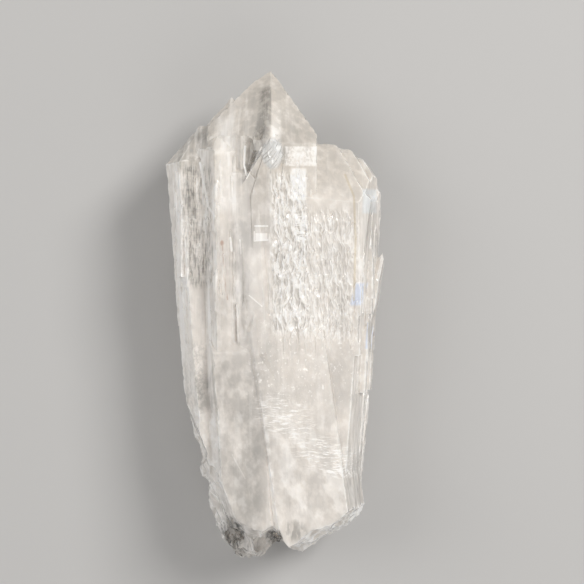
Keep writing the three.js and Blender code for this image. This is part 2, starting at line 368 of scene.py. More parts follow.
@dataclass
class Growth:
    """The growth textures and where each belongs on the crystal, as fields of one tree.

    Attributes:
        graph: The tree.
        place: A place on the surface, in millimetres.
        normal: The outward direction there.
        pillow_size: How many hillocks there are to a millimetre, along each axis.
        pebble_size: The same for the small hillocks between.
    """

    graph: Graph
    place: Field
    normal: Field
    pillow_size: Triple = (0.95, 0.21, 0.95)
    pebble_size: Triple = (1.8, 0.5, 1.8)

    def __post_init__(self) -> None:
        """Splits the place and the direction, and finds where the place is in plan."""
        self.x, self.y, self.z = self.graph.axes(self.place)
        self.nx, self.ny, self.nz = self.graph.axes(self.normal)
        spread = (self.z - OUTLINE_HEIGHT) * (1 / VIEW_HEIGHT) + 1
        across = (self.x - MIDDLE[0]) * spread + MIDDLE[0]
        along = (self.y - MIDDLE[1]) * spread + MIDDLE[1]
        self.plan = Plan(self.graph, across, along)
        self.add_textures()
        self.add_fronts()
        self.add_sides()

    def add_textures(self) -> None:
        """Adds the noises, from 0 to 1."""
        noise, joined = self.graph.noise, self.graph.joined
        x, y, z, place = self.x, self.y, self.z, self.place
        # Faces that run along the crystals, and faces that look up
        self.prism = self.ny.size().rise(0.48, 0.25)
        self.top = self.nz.rise(0.15, 0.45)
        # Clouds from large to small, grit, lengthwise splinters and slanting veils
        self.cloud = noise(place, (0.11, 0.085, 0.11), 4.0)
        self.drift = noise(place, (0.26, 0.18, 0.26), 3.0, (7.0, 3.0, 1.0))
        self.mottle = noise(place, (0.62, 0.48, 0.62), 3.0, (5.0, 1.0, 2.0))
        self.speck = noise(place, (1.9, 1.5, 1.9), 2.0, (9.0, 2.0, 5.0))
        self.shard = noise(place, (1.0, 0.3, 0.7), 3.0, (3.0, 3.0, 8.0))
        slanting = joined(x + y * 0.45, y - x * 0.5, z)
        self.veil = noise(slanting, (0.36, 0.15, 0.36), 4.0, (4.0, 6.0, 1.0))
        # Broad streaks and hair-fine striae, which don't slide down the tip faces
        self.grown = joined(x, y, z * self.prism)
        self.streak = noise(self.grown, (0.75, 0.07, 0.75), 3.0, (2.0, 5.0, 9.0))
        self.hair = noise(self.grown, (3.3, 0.42, 3.3), 2.0, (4.0, 1.0, 6.0))
        # Striations across the crystals
        sag = (x - 3.0) * 0.04 + (self.drift - 0.5) * 1.2
        self.rung = noise(joined(x, y + sag, z), (0.62, 3.1, 0.62), 3.0, (1.0, 8.0, 3.0))
        # How far inside its hillock a place is, in columns that wander
        sway = (self.drift - 0.5) * 2.8 + (self.mottle - 0.5) * 0.7
        self.bent = joined(x + sway, y, z * 0.6)
        self.pillows = self.graph.cells(self.bent, self.pillow_size)
        self.pebbles = self.graph.cells(self.bent, self.pebble_size)

    def add_fronts(self) -> None:
        """Adds the regions of the front, 1 inside and 0 outside."""
        plan, top = self.plan, self.top
        # The left-hand crystals above their smooth foot, and the finely ribbed face on the far left
        self.columns = plan.x.rise(-4.5, -8.0) * plan.y.rise(-10.0, 4.0)
        self.striae = plan.patch(Patch.STRIAE) * top
        # The stepped column, the weaker hillocks right of it, and the flecked front below
        self.hillocks = plan.patch(Patch.HILLOCKS) * self.prism * top
        self.mid = plan.patch(Patch.WEAK_HILLOCKS) * self.prism * top
        self.below = plan.patch(Patch.FLECKED) * top
        # The swathe of striations across the lower front
        left = plan.oval((1.6, -19.5), (7.0, 5.4), 1.0, -0.45)
        self.arc = left.most(plan.oval((10.0, -27.0), (8.0, 5.0), 1.0, -0.7)) * top

    def add_sides(self) -> None:
        """Adds the regions of the sides and the breaks."""
        plan, x, y, nx, nz = self.plan, self.x, self.y, self.nx, self.nz
        # The clear, rough break under the left-hand crystals, and the clear notch beside it
        self.left_foot = plan.oval((-8.3, -42.9), (2.9, 4.7), 0.6, -0.3)
        notch = plan.oval((-0.5, -43.0), (2.0, 2.1), 0.7)
        self.right_foot = notch.most(plan.oval((3.5, -41.7), (2.9, 2.6), 0.9) * 0.35)
        # The far left side, the toothed break low on it, and the break above the clear foot
        self.flank = nx.rise(-0.55, -0.85) * x.rise(-8.0, -11.0)
        self.serrated = self.flank * y.rise(-13.0, -17.0)
        self.left_break = nx.rise(-0.35, -0.6) * x.rise(-7.5, -9.0) * y.rise(-15.0, -19.0)
        # The broken lip under the right-hand crystals, the far right side, and the low wall between
        # the two lower fronts
        self.lip = nz.rise(0.75, 0.45) * y.rise(-35.0, -38.0) * x.rise(2.0, 4.0)
        self.right_side = nx.rise(0.3, 0.6) * x.rise(10.5, 12.5)
        self.wall = nx.rise(-0.35, -0.6) * x.rise(-8.5, -7.0) * x.rise(1.5, 0.5) * y.rise(2.0, -6.0)
        # All breaks
        foot = y.rise(-36.0, -39.5) * nz.rise(0.85, 0.6)
        side = nx.rise(-0.45, -0.75) * y.rise(-13.0, -17.0) * x.rise(-8.0, -11.0)
        self.broken = foot.most(side).most(self.left_foot)


# ---- Shades ----
class Shades(Growth):
    """How bright, dark and milky each place of the crystal looks."""

    def __post_init__(self) -> None:
        """Adds what several shades share."""
        super().__post_init__()
        plan, x, y, mottle = self.plan, self.plan.x, self.plan.y, self.mottle
        self.tips = y.rise(17.0, 30.0)
        self.foot = self.left_foot.most(self.right_foot)
        self.gloom = mottle.rise(0.53, 0.43)
        self.splinters = self.shard.rise(0.54, 0.45)
        self.lower_right = plan.patch(Patch.LOWER_RIGHT)
        # The see-through band left of the main tip's ridge
        beside = (y * 0.617 - 22.6).least(-1.05) - x
        self.window = plan.line(Line.WINDOW) * beside.rise(-0.05, 0.2)
        self.haze = plan.line(Line.HAZE) * beside.rise(-0.05, 0.6)
        self.core = plan.patch(Patch.CORE) * beside.rise(-0.1, 0.25)
        # The shelled chip at the foot of the ridge, and the arcs that fan out within it
        self.conch = plan.oval((-0.9, 31.8), (2.4, 3.4), 0.5)
        fan = ((x + 4.2) * (x + 4.2) * 2.2 + (y - 37.0) * (y - 37.0)) * 0.16 + (mottle - 0.5) * 1.6
        fan = self.graph.noise(self.graph.joined(fan, x * 0.3, 0.0), (1.3, 1.0, 1.0), 3.0)
        self.cracks = fan.rise(0.46, 0.38) * self.conch * mottle.rise(0.36, 0.56)
        # How the big and the small hillocks lean: below 0 to the light
        self.lean = self.pillows - self.graph.cells(self.bent, self.pillow_size, (0.15, 0.07, 0.0))
        self.tilt = self.pebbles - self.graph.cells(self.bent, self.pebble_size, (0.18, 0.09, 0.0))

    @cached_property
    def edges(self) -> Field:
        """Painted highlights along the outward edges between the faces.

        Returns:
            1 on a painted edge highlight and 0 elsewhere.
        """
        x, y = self.plan.x, self.plan.y
        rim = x.rise(15.0, 16.0).most(x.rise(12.2, 13.2) * y.rise(-4.0, -12.0))
        rim = rim.most(x.rise(1.5, 3.0) * y.rise(-36.0, -39.0))
        rim = rim.most(x.rise(-8.5, -10.5) * y.rise(-12.0, -16.0))
        shown = self.hillocks * 0.6 + self.mid * 0.4 + rim * 0.8 + x.rise(-17.0, -18.0) * 0.9 + 0.12
        crest = self.graph.node("ShaderNodeAttribute", {"attribute_name": CREST}, {}).field("Fac")
        return crest.rise(0.34, 0.04) * (0.35 + self.mottle.rise(0.35, 0.6) * 0.65) * shown.kept()

    @cached_property
    def seams_and_lit_sides(self) -> Field:
        """Bright seams between the hillocks, and painted highlights on their sides toward the light.

        Returns:
            How much of them there is, from 0 to 1.
        """
        net = self.pillows.rise(0.13, 0.03) * self.drift.rise(0.3, 0.5)
        mesh = self.pebbles.rise(0.11, 0.02) * self.mottle.rise(0.46, 0.58)
        big, small = self.lean.rise(-0.03, -0.14), self.tilt.rise(-0.04, -0.16)
        strong = net * 0.5 + mesh * 0.25 + big * 0.45 + small * 0.25
        weak = net * 0.16 + mesh * 0.2 + big * 0.22 + small * 0.26
        return (self.hillocks * strong + self.mid * weak).kept()

    @cached_property
    def shaded(self) -> Field:
        """The sides of the hillocks away from the light."""
        big, small = self.lean.rise(0.03, 0.15), self.tilt.rise(0.04, 0.16)
        return self.hillocks * (big * 0.17 + small * 0.09) + self.mid * (big * 0.09 + small * 0.09)

    @cached_property
    def marks(self) -> Field:
        """All bright lines.

        Returns:
            The strength of the line, or 0 beside the lines.
        """
        found: Operand = 0.0
        for mark in MARKS:
            found = (self.plan.stroke(mark.path, mark.width) * mark.strength).most(found)
        return found

    @cached_property
    def snowy_and_lit(self) -> Field:
        """How white it is: its own white, and painted highlights and light.

        Returns:
            The share of white, from 0 to 1.
        """
        patch, y, top, mottle = self.plan.patch, self.plan.y, self.top, self.mottle
        streak, rung, speck = self.streak, self.rung, self.speck
        # The painted highlight on the main tip's ridge, fading towards its apex
        ridge = y.rise(43.5, 34.0) * (0.45 + mottle.rise(0.45, 0.6) * 0.25)
        # Among the fronts, the lit sides of the hillocks and the edges are painted highlights
        fronts = (
            self.seams_and_lit_sides
            + self.edges * 0.55
            + self.hillocks * mottle.rise(0.5, 0.66) * 0.22
            + self.below * speck.rise(0.6, 0.7) * 0.55
            + self.columns * top * streak.rise(0.5, 0.62) * 0.19
            + top * (mottle.rise(0.52, 0.68) * 0.2 + streak.rise(0.54, 0.66) * 0.12)
            + self.lower_right * self.veil.rise(0.48, 0.62) * 0.34
            + self.arc * (rung.rise(0.52, 0.66) * 0.85 + 0.1)
            + self.plan.oval((12.2, -30.2), (3.4, 1.5), 0.9, -0.8) * rung.rise(0.44, 0.56) * 0.6
            + self.plan.line(Line.CREASE) * y.rise(-13.0, -24.0) * mottle.rise(0.38, 0.58) * 0.32
        )
        # Among the spots, the reflection on the small facet beside the main tip and the highlight on the
        # ridge are painted light
        spots = (
            patch(Patch.SHOULDER) * 0.08
            + patch(Patch.WHITE_REFLECTION) * top * (0.3 + speck.rise(0.4, 0.6) * 0.4)
            + patch(Patch.BRIGHT_COLUMN) * top * 0.7
            + patch(Patch.BRIGHT_RUNGS) * rung.rise(0.44, 0.56) * top * 0.8
            + patch(Patch.BRIGHT_CHIP) * 0.75
            + patch(Patch.PALE_PILLAR) * 0.38
            + patch(Patch.LEFT_RIM) * 0.16
            + patch(Patch.RIDGE_HIGHLIGHT) * ridge
            + self.conch * mottle.rise(0.44, 0.6) * 0.24
            + self.marks
        )
        # Painted light: the far left side as a bright rim, and the low wall, the lip and the left break
        # lightened where they face away from the key lamp; the far right side gets only its streaks
        sides = (
            self.wall * (0.25 + y.rise(-26.0, -34.0) * 0.3)
            + self.flank * (0.5 + streak.rise(0.46, 0.6) * 0.25) * (1 - self.serrated * 0.6)
            + self.lip * (0.7 + self.shard.rise(0.42, 0.58) * 0.3)
            + self.right_side * streak.rise(0.42, 0.6) * 0.3
            + self.left_break * (0.22 + mottle.rise(0.48, 0.62) * 0.3)
        )
        return ((fronts + spots + sides).kept() - self.cracks).kept()

    @cached_property
    def smoky_and_shaded(self) -> Field:
        """How dark it is: its own grey, and painted shade.

        Returns:
            The share of grey, from 0 to 1.
        """
        patch, x, y, top = self.plan.patch, self.plan.x, self.plan.y, self.top
        gloom, hair, streak, mottle, speck = self.gloom, self.hair, self.streak, self.mottle, self.speck
        combed = hair.rise(0.48, 0.38)
        soft = self.cloud.rise(0.56, 0.42) * 0.14 + self.veil.rise(0.56, 0.42) * 0.15 + gloom * 0.05
        fronts = (
            self.striae * (0.12 + combed * 0.34 + streak.rise(0.55, 0.4) * 0.1)
            + self.striae * self.rung.rise(0.48, 0.38) * 0.16
            + self.columns * (hair.rise(0.42, 0.34) * 0.1 + streak.rise(0.49, 0.38) * 0.1)
            + self.shaded
            + self.hillocks * (0.05 + mottle.rise(0.52, 0.4) * 0.06)
            + x.rise(-1.0, -4.0) * y.rise(-4.0, -12.0) * soft
            + self.lower_right * (self.veil.rise(0.5, 0.38) * 0.1 + gloom * 0.04)
            + self.tips * (gloom * 0.07 + combed * 0.04)
            # Painted shade on the right face of the main tip
            + x.rise(-1.0, 0.5) * y.rise(32.5, 34.5) * 0.09
            + y.rise(-20.0, -34.0) * 0.04
            + y.rise(30.0, 36.0) * 0.09
            + top * gloom * 0.07
            + self.serrated * gloom * 0.22
        )
        clear = (
            self.window * (0.13 + gloom * 0.2 + hair.rise(0.52, 0.4) * 0.1)
            + self.haze * (0.08 + streak.rise(0.54, 0.44) * 0.08)
            + self.core * 0.22
            + self.cracks * 0.5
            + self.conch * (0.26 + mottle.rise(0.5, 0.38) * 0.25)
            + self.foot * (self.splinters * (0.22 + top * 0.5) + 0.05 + top * 0.17)
        )
        spots = (
            patch(Patch.WEDGE) * 0.19
            + patch(Patch.LEFT_TIPS) * (0.32 + streak.rise(0.52, 0.42) * 0.14)
            + patch(Patch.STEP_EDGE) * 0.35
            # The groove beside the wedge gets patchy painted shade
            + patch(Patch.GROOVE_SHADE) * self.drift.rise(0.54, 0.4) * 0.16
            + patch(Patch.LEFT_EDGE) * speck.rise(0.56, 0.44) * 0.25
            + self.plan.line(Line.LEFT_CRACK) * 0.35
            + self.plan.line(Line.SHORT_CRACK) * speck.rise(0.45, 0.35) * 0.6
        )
        return (fronts + clear + spots).kept()

    @cached_property
    def milky(self) -> Field:
        """How milky it is: the rest is clear.

        Returns:
            The share of the milky surface, from 0 to 1.
        """
        milky = (
            0.84
            + (self.cloud - 0.5) * 0.5
            + (self.drift - 0.5) * 0.35
            - self.striae * self.hair.rise(0.54, 0.44) * 0.25
            - self.window * 0.26
            - self.core * 0.45
            - self.foot * (0.2 + self.splinters * (0.2 + self.top * 0.3))
            + self.snowy_and_lit * 0.3
            - (1 - self.top) * (0.22 + self.cloud.rise(0.56, 0.42) * 0.22)
        )
        return milky.kept() * 0.94 + 0.03

    @cached_property
    def roughness(self) -> Field:
        """How rough the milky surface is."""
        return (0.1 + self.top * 0.05 + (self.drift - 0.5) * 0.12 + self.smoky_and_shaded * 0.1).kept()

    @cached_property
    def waves(self) -> Field:
        """The height of the fine relief.

        Returns:
            The height, as a share of the relief.
        """
        rough = self.foot * 0.35 + self.conch * 0.5 + self.lip * 0.3 + self.below * 0.2 + 0.08
        pebbled = self.hillocks * 0.45 + self.mid * 0.35 + self.below * 0.12
        return (
            self.hair * (self.striae * 0.9 + self.columns * 0.25)
            + self.pillows.rise(0.24, 0.0) * (self.hillocks * 1.2 + self.mid * 0.45)
            + self.pebbles.rise(0.22, 0.0) * pebbled
            + self.mottle * 0.35
            + self.rung * (0.12 + self.arc * 0.9)
            + self.speck * rough
        )


# ---- Finishes ----
@dataclass(frozen=True)
class Rgb:
    """A colour in linear light."""

    red: float
    green: float
    blue: float

    def rgba(self) -> tuple[float, float, float, float]:
        """The colour with full alpha."""
        return (self.red, self.green, self.blue, 1.0)


@dataclass(frozen=True)
class QuartzFinish:
    """Clear quartz that turns milky in clouds, streaks and along its growth steps.

    The relief and the depth of scattering are in millimetres.
    """

    name: str = "cathedral_quartz"
    refraction: float = 1.544
    clear_tint: Rgb = Rgb(0.985, 0.98, 0.97)
    milk: Rgb = Rgb(0.865, 0.82, 0.775)
    cream: Rgb = Rgb(0.76, 0.695, 0.615)
    # White, also the colour of the painted highlights and light
    snow_and_highlight: Rgb = Rgb(0.975, 0.955, 0.93)
    # Pale blue: the shelled chip's own tint, and a painted reflection
    pale_blue: Rgb = Rgb(0.88, 0.92, 0.95)
    sheen: Rgb = Rgb(0.66, 0.76, 0.98)
    # Grey, also the colour of the painted shade
    smoke_and_shade: Rgb = Rgb(0.3, 0.295, 0.28)
    honey: Rgb = Rgb(0.66, 0.56, 0.38)
    rust: Rgb = Rgb(0.4, 0.15, 0.06)
    absorbed: Rgb = Rgb(0.9, 0.87, 0.83)
    absorption: float = 24.0
    relief: float = 0.16
    relief_strength: float = 0.7
    polish: float = 0.04
    scatter: float = 0.5
    scatter_tint: Triple = (1.0, 0.95, 0.88)
    scatter_depth: float = 1.7

    def make(self) -> bpy.types.Material:
        """Builds the material.

        Returns:
            The material, which mixes a clear and a milky surface.
        """
        material = bpy.data.materials.new(self.name)
        material.use_nodes = True
        g = Graph(material.node_tree)
        place = g.node("ShaderNodeTexCoord", {}, {}).field("Object")
        normal = g.node("ShaderNodeNewGeometry", {}, {}).field("Normal")
        shades = Shades(g, g.stretched(place, TO_MM), normal)
        relief = {"Strength": self.relief_strength, "Distance": self.relief * MM, "Height": shades.waves}
        shared = {"IOR": self.refraction, "Normal": g.node("ShaderNodeBump", {}, relief).field()}
        clear = {
            "Base Color": self.clear_tint.rgba(),
            "Roughness": self.polish,
            "Transmission Weight": 1.0,
        }
        cloudy = {
            "Base Color": self.colour(g, shades),
            "Roughness": shades.roughness,
            "Subsurface Weight": self.scatter,
            "Subsurface Radius": self.scatter_tint,
            "Subsurface Scale": self.scatter_depth * MM,
        }
        inside = g.node("ShaderNodeBsdfPrincipled", {}, {**shared, **clear}).field()
        skin = g.node("ShaderNodeBsdfPrincipled", {}, {**shared, **cloudy}).field()
        surface = g.node("ShaderNodeMixShader", {}, {0: shades.milky, 1: inside, 2: skin}).field()
        lost = {"Color": self.absorbed.rgba(), "Density": self.absorption}
        volume = g.node("ShaderNodeVolumeAbsorption", {}, lost).field()
        g.node("ShaderNodeOutputMaterial", {}, {"Surface": surface, "Volume": volume})
        return material

    def colour(self, g: Graph, shades: Shades) -> Field:
        """Lays the tints over each other.

        Args:
            g: The material's graph.
            shades: How bright and dark each place is.

        Returns:
            The colour of the milky surface.
        """
        plan = shades.plan
        warmth = shades.tips * 0.45 + (shades.drift - 0.42) * 0.5 + 0.1
        # Pale blue is the shelled chip's own tint, but a painted reflection on the facet at the right
        # edge; the blue glints are painted reflections too
        pale_blue_share = (shades.conch * 0.4 + plan.patch(Patch.BLUE_REFLECTION) * 0.75).kept() * (1 - shades.cracks)
        glints = plan.patch(Patch.UPPER_GLINT).most(plan.patch(Patch.LOWER_GLINT)) * 0.6
        groove = plan.line(Line.RUST) * shades.hair.rise(0.35, 0.6) * 0.35
        rusty = (plan.oval((-10.7, 14.4), (0.45, 0.7), 0.9) * 0.5).most(groove)
        colour = g.mixed(warmth.kept(), self.milk.rgba(), self.cream.rgba())
        for share, tint in (
            (shades.smoky_and_shaded, self.smoke_and_shade),
            (shades.snowy_and_lit, self.snow_and_highlight),
            (pale_blue_share, self.pale_blue),
            (glints * shades.nz.rise(0.3, 0.6), self.sheen),
            (plan.line(Line.STAIN) * 0.45, self.honey),
            (rusty, self.rust),
        ):
            colour = g.mixed(share, colour, tint.rgba())
        return colour


@dataclass(frozen=True)
class FloorFinish:
    """Pale matt studio board."""

    name: str = "pale_board"
    tone: Rgb = Rgb(0.52, 0.515, 0.51)
    grains: float = 900.0

    def make(self) -> bpy.types.Material:
        """Builds the material.

        Returns:
            The material.
        """
        material = bpy.data.materials.new(self.name)
        material.use_nodes = True
        g = Graph(material.node_tree)
        place = g.node("ShaderNodeTexCoord", {}, {}).field("Object")
        grain = g.noise(place, (self.grains, self.grains, self.grains), 2.0)
        look = {"Base Color": self.tone.rgba(), "Roughness": 0.75 + grain * 0.15}
        board = g.node("ShaderNodeBsdfPrincipled", {}, {**look, "Specular IOR Level": 0.2})
        g.node("ShaderNodeOutputMaterial", {}, {"Surface": board.field()})
        return material


# ---- The crystal's faces ----
# How near, in millimetres, corners are one, and how many points are tested at once
JOIN = 0.0002
CHUNK = 2000
# As shares of the grain: how much too long an edge may be, the step between rows of corners, how
# far they are moved off their rows and how far they stay from the rim
SLACK = 0.2
ROW_STEP = 0.866
JITTER = 0.18
RIM_GAP = 0.5
GRID_SEED = 3
# Past this rise a face counts as level, and closer than this places in its plane are one
LEVEL = 0.8
SAME = 1e-7


class Grain(Enum):
    """How finely a part of the surface is divided: the usual edge, in millimetres."""

    SHOWN = 0.29
    FLANK = 0.55
    HIDDEN = 1.1

    @classmethod
    def facing(cls, up: float) -> float:
        """The grain of a face whose outward direction rises by up."""
        return (cls.SHOWN if up > 0.25 else cls.FLANK if up > -0.35 else cls.HIDDEN).value


@dataclass
class Skin:
    """Triangles that share their corners, outward and closed.

    Attributes:
        places: The corners' places, in millimetres.
        corners: The three corners of each triangle.
        level: How far, in millimetres, a flat face may be from its plane.
        bend: How far, in degrees, it may turn from its plane.
        edge_turn: The angle, in degrees, past which an edge counts as a crystal's edge.
        edge_reach: How far, in millimetres, from such an edge a corner still knows its distance.
    """

    places: np.ndarray
    corners: np.ndarray
    level: float = 0.02
    bend: float = 2.0
    edge_turn: float = 22.0
    edge_reach: float = 3.0

    @classmethod
    def of(cls, mesh: bpy.types.Mesh) -> "Skin":
        """Joins up loose triangles.

        Args:
            mesh: The mesh, in metres.

        Returns:
            The skin, without the triangles that have lost an edge.
        """
        loose = np.empty(len(mesh.vertices) * 3)
        mesh.vertices.foreach_get("co", loose)
        loose = loose.reshape(-1, 3) / MM
        used = np.empty(len(mesh.loops), dtype=np.int64)
        mesh.loops.foreach_get("vertex_index", used)
        steps = np.round(loose / JOIN)
        _, first, which = np.unique(steps, axis=0, return_index=True, return_inverse=True)
        corners = which.ravel()[used].reshape(-1, 3)
        return cls(loose[first], corners[(corners != np.roll(corners, 1, axis=1)).all(axis=1)])

    def facing(self) -> tuple[np.ndarray, np.ndarray]:
        """Finds how each triangle lies.

        Returns:
            The outward direction of each triangle, and twice its area.
        """
        a, b, c = (self.places[self.corners[:, i]] for i in range(3))
        across = np.cross(b - a, c - a)
        size = np.linalg.norm(across, axis=1)
        return across / np.maximum(size, TINY)[:, None], size

    def edges(self) -> tuple[np.ndarray, np.ndarray, np.ndarray]:
        """Finds the edges.

        Returns:
            The ends of each edge, its two triangles, and the three edges of each triangle.
        """
        pairs = np.sort(self.corners[:, [[0, 1], [1, 2], [2, 0]]].reshape(-1, 2), axis=1)
        ends, which = np.unique(pairs, axis=0, return_inverse=True)
        which = which.ravel()
        beside = (np.argsort(which, kind="stable") // 3).reshape(-1, 2)
        return ends, beside, which.reshape(-1, 3)

    def flats(self, beside: np.ndarray, sides: np.ndarray) -> tuple[np.ndarray, list[int]]:
        """Groups the triangles into flat faces.

        Args:
            beside: The two triangles of each edge.
            sides: The three edges of each triangle.

        Returns:
            The face of each triangle, and the largest triangle of each face.
        """
        normals, size = self.facing()
        one, other = beside[sides][:, :, 0], beside[sides][:, :, 1]
        near = np.where(one == np.arange(len(sides))[:, None], other, one)
        least = math.cos(math.radians(self.bend))
        group = np.full(len(sides), -1)
        seeds: list[int] = []
        for seed in np.argsort(-size):
            if group[seed] >= 0:
                continue
            fits = normals @ normals[seed] > least
            off = np.abs((self.places - self.places[self.corners[seed, 0]]) @ normals[seed])
            fits &= (off[self.corners] < self.level).all(axis=1)
            group[seed] = len(seeds)
            stack = [int(seed)]
            while stack:
                for next_to in near[stack.pop()]:
                    if group[next_to] < 0 and fits[next_to]:
                        group[next_to] = len(seeds)
                        stack.append(int(next_to))
            seeds.append(int(seed))
        return group, seeds

    def remade(self) -> "Skin":
        """Fills each flat face anew with small, even triangles.

        Returns:
            The finely divided skin.
        """
        ends, beside, sides = self.edges()
        group, seeds = self.flats(beside, sides)
        normals, _ = self.facing()
        grain = np.array([Grain.facing(normals[seed][2]) for seed in seeds])
        places = list(self.places)
        chains: dict[int, list[int]] = {}
        for edge in np.flatnonzero(group[beside[:, 0]] != group[beside[:, 1]]):
            low, high = ends[edge]
            span = self.places[high] - self.places[low]
            finest = grain[group[beside[edge]]].min()
            count = max(1, math.ceil(np.linalg.norm(span) / finest - SLACK))
            chain = [int(low)]
            for step in range(1, count):
                chain.append(len(places))
                places.append(self.places[low] + span * (step / count))
            chains[int(edge)] = chain + [int(high)]
        rng = np.random.default_rng(GRID_SEED)
        members: list[list[int]] = [[] for _ in seeds]
        for triangle, face in enumerate(group):
            members[face].append(triangle)
        corners: list[Face] = []
        for face, seed in enumerate(seeds):
            rim: list[tuple[int, int]] = []
            for triangle in members[face]:
                for side in range(3):
                    chain = chains.get(int(sides[triangle, side]))
                    if chain:
                        if chain[0] != self.corners[triangle, side]:
                            chain = chain[::-1]
                        rim += zip(chain, chain[1:])
            corners += filled(places, rim, normals[seed], grain[face], rng) or [
                fan for triangle in members[face] for fan in self.fan(triangle, sides[triangle], chains)
            ]
        return Skin(np.array(places), np.array(corners))

    def fan(self, triangle: int, sides: np.ndarray, chains: dict[int, list[int]]) -> list[Face]:
        """Divides one triangle only where its rim is.

        Args:
            triangle: The triangle.
            sides: Its three edges.
            chains: The corners along each divided edge.

        Returns:
            The new triangles.
        """
        loop: list[int] = []
        for side in range(3):
            start = int(self.corners[triangle, side])
            chain = chains.get(int(sides[side]), [start, int(self.corners[triangle, (side + 1) % 3])])
            loop += (chain if chain[0] == start else chain[::-1])[:-1]
        return [(loop[0], loop[i], loop[i + 1]) for i in range(1, len(loop) - 1)]

    def mesh(self, name: str, crease: float) -> bpy.types.Mesh:
        """Makes a mesh, in metres.

        Args:
            name: The mesh's name.
            crease: The angle between faces, in degrees, past which their edge is sharp.

        Returns:
            The mesh, smooth but for its creases.
        """
        mesh = bpy.data.meshes.new(name)
        mesh.from_pydata(self.places * MM, [], self.corners)
        mesh.shade_smooth()
        normals, _ = self.facing()
        ends, beside, _ = self.edges()
        turn = (normals[beside[:, 0]] * normals[beside[:, 1]]).sum(axis=1)
        sharp = turn < math.cos(math.radians(crease))
        made = np.empty(len(mesh.edges) * 2, dtype=np.int32)
        mesh.edges.foreach_get("vertices", made)
        made = np.sort(made.reshape(-1, 2).astype(np.int64), axis=1)
        scale = np.int64(len(self.places) + 1)
        at = np.searchsorted(ends[:, 0] * scale + ends[:, 1], made[:, 0] * scale + made[:, 1])
        mesh.attributes.new("sharp_edge", "BOOLEAN", "EDGE").data.foreach_set("value", sharp[at])
        mesh.attributes.new(CREST, "FLOAT", "POINT").data.foreach_set("value", self.crests())
        return mesh

    def crests(self) -> np.ndarray:
        """Measures how far each corner is from an outward edge.

        Returns:
            The distances, in millimetres, up to the reach.
        """
        normals, _ = self.facing()
        ends, beside, _ = self.edges()
        first, second = normals[beside[:, 0]], normals[beside[:, 1]]
        middle = self.places[self.corners].mean(axis=1)
        outward = ((middle[beside[:, 1]] - middle[beside[:, 0]]) * first).sum(axis=1) < 0
        turned = (first * second).sum(axis=1) < math.cos(math.radians(self.edge_turn))
        on_edge = np.unique(ends[outward & turned])
        tree = KDTree(len(on_edge))
        for corner in on_edge:
            tree.insert(self.places[corner], int(corner))
        tree.balance()
        far = np.array([tree.find(place)[2] for place in self.places])
        return np.minimum(far, self.edge_reach)


def within(faces: list[list[int]], rim: set[tuple[int, int]]) -> list[list[int]]:
    """Keeps the triangles on the inner side of a rim.

    Args:
        faces: The triangles.
        rim: The rim's directed edges.

    Returns:
        The triangles, or none where the rim isn't made of their edges.
    """
    sides = [list(zip(face, face[1:] + face[:1])) for face in faces]
    owner = {side: i for i, three in enumerate(sides) for side in three}
    stack = [owner[side] for side in rim if side in owner]
    kept = set(stack)
    while stack:
        for a, b in sides[stack.pop()]:
            other = owner.get((b, a))
            if (a, b) not in rim and other is not None and other not in kept:
                kept.add(other)
                stack.append(other)
    directed = {side for i in kept for side in sides[i]}
    outer = {(a, b) for a, b in directed if (b, a) not in directed}
    return [faces[i] for i in sorted(kept)] if outer == rim else []


def sifted(points: np.ndarray, start: np.ndarray, end: np.ndarray, gap: float) -> np.ndarray:
    """Sifts the points of a plane by the edges of some loops.

    Args:
        points: The points.
        start: Where each edge starts.
        end: Where it ends.
        gap: How far from every edge a point has to be.

    Returns:
        The points that are inside the loops and away from their edges.
    """
    kept = [points[:0]]
    span = end - start
    rise = np.where(span[:, 1] == 0, 1.0, span[:, 1])
    length = np.maximum((span**2).sum(axis=1), TINY)
    for first in range(0, len(points), CHUNK):
        part = points[first : first + CHUNK]
        x, y = part[:, 0:1], part[:, 1:2]
        crosses = (start[:, 1] > y) != (end[:, 1] > y)
        at = start[:, 0] + (y - start[:, 1]) * span[:, 0] / rise
        part = part[(crosses & (x < at)).sum(axis=1) % 2 == 1]
        to = part[:, None] - start
        share = np.clip((to * span).sum(axis=2) / length, 0, 1)
        far = np.linalg.norm(to - share[:, :, None] * span, axis=2).min(axis=1)
        kept.append(part[far > gap])
    return np.concatenate(kept)


